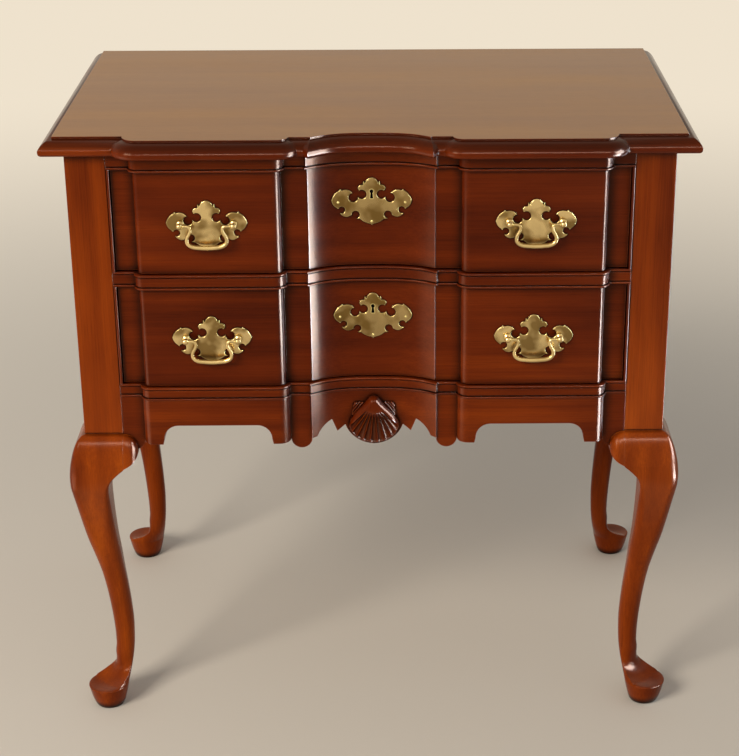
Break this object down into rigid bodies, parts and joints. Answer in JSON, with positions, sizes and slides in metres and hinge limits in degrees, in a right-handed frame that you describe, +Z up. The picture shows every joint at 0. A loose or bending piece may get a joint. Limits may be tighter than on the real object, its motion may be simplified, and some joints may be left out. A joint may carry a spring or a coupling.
{
  "type": "lowboy",
  "caption": "Low chest of full-width drawers with a block front, shell-carved apron, pierced brass pulls and cabriole legs on pad feet.",
  "frame": {"origin": "on the floor, under the middle of the overall box of the lowboy with its drawers shut", "axes": "+X to the viewer's right along the front, +Y from the front to the back, +Z up"},
  "size_m": [0.774, 0.4866, 0.775],
  "materials": {
    "case_wood": "satin reddish-brown finish on cherry",
    "front_wood": "satin deep red-brown finish on cherry",
    "inside_wood": "unfinished pale secondary wood",
    "brass": "polished, slightly aged"
  },
  "bodies": {
    "case": {"top_board": "case_wood", "front_left_leg": "case_wood", "front_right_leg": "case_wood", "rear_left_leg": "case_wood", "rear_right_leg": "case_wood", "front_left_front_knee_block": "case_wood", "front_left_side_knee_block": "case_wood", "front_right_front_knee_block": "case_wood", "front_right_side_knee_block": "case_wood", "rear_left_side_knee_block": "case_wood", "rear_right_side_knee_block": "case_wood", "left_side_panel": "case_wood", "right_side_panel": "case_wood", "back_panel": "inside_wood", "rear_rail": "inside_wood", "top_rail": "front_wood", "middle_rail": "front_wood", "bottom_rail": "front_wood", "upper_left_bead": "front_wood", "upper_right_bead": "front_wood", "lower_left_bead": "front_wood", "lower_right_bead": "front_wood", "front_apron": "front_wood", "carved_shell": "front_wood", "upper_left_runner": "inside_wood", "upper_right_runner": "inside_wood", "lower_left_runner": "inside_wood", "lower_right_runner": "inside_wood", "left_kicker": "inside_wood", "right_kicker": "inside_wood"},
    "upper_drawer": {"upper_drawer_front": "front_wood", "upper_drawer_left_side": "inside_wood", "upper_drawer_right_side": "inside_wood", "upper_drawer_back": "inside_wood", "upper_drawer_bottom": "inside_wood", "upper_escutcheon": "brass", "upper_left_pull_plate": "brass", "upper_left_pull_left_post": "brass", "upper_left_pull_right_post": "brass", "upper_right_pull_plate": "brass", "upper_right_pull_left_post": "brass", "upper_right_pull_right_post": "brass"},
    "lower_drawer": {"lower_drawer_front": "front_wood", "lower_drawer_left_side": "inside_wood", "lower_drawer_right_side": "inside_wood", "lower_drawer_back": "inside_wood", "lower_drawer_bottom": "inside_wood", "lower_escutcheon": "brass", "lower_left_pull_plate": "brass", "lower_left_pull_left_post": "brass", "lower_left_pull_right_post": "brass", "lower_right_pull_plate": "brass", "lower_right_pull_left_post": "brass", "lower_right_pull_right_post": "brass"},
    "upper_left_handle": {"upper_left_bail": "brass"},
    "upper_right_handle": {"upper_right_bail": "brass"},
    "lower_left_handle": {"lower_left_bail": "brass"},
    "lower_right_handle": {"lower_right_bail": "brass"}
  },
  "joints": [
    {"name": "upper_drawer_slide", "type": "slide", "parent": "case", "child": "upper_drawer", "axis": [0, -1, 0], "range_m": [0, 0.3]},
    {"name": "lower_drawer_slide", "type": "slide", "parent": "case", "child": "lower_drawer", "axis": [0, -1, 0], "range_m": [0, 0.3]},
    {"name": "upper_left_bail_swing", "type": "hinge", "parent": "upper_drawer", "child": "upper_left_handle", "pos_m": [-0.195, -0.22616, 0.67], "axis": [-1, 0, 0], "range_deg": [-8, 110]},
    {"name": "upper_right_bail_swing", "type": "hinge", "parent": "upper_drawer", "child": "upper_right_handle", "pos_m": [0.195, -0.22616, 0.67], "axis": [-1, 0, 0], "range_deg": [-8, 110]},
    {"name": "lower_left_bail_swing", "type": "hinge", "parent": "lower_drawer", "child": "lower_left_handle", "pos_m": [-0.195, -0.22616, 0.524], "axis": [-1, 0, 0], "range_deg": [-8, 110]},
    {"name": "lower_right_bail_swing", "type": "hinge", "parent": "lower_drawer", "child": "lower_right_handle", "pos_m": [0.195, -0.22616, 0.524], "axis": [-1, 0, 0], "range_deg": [-8, 110]}
  ]
}
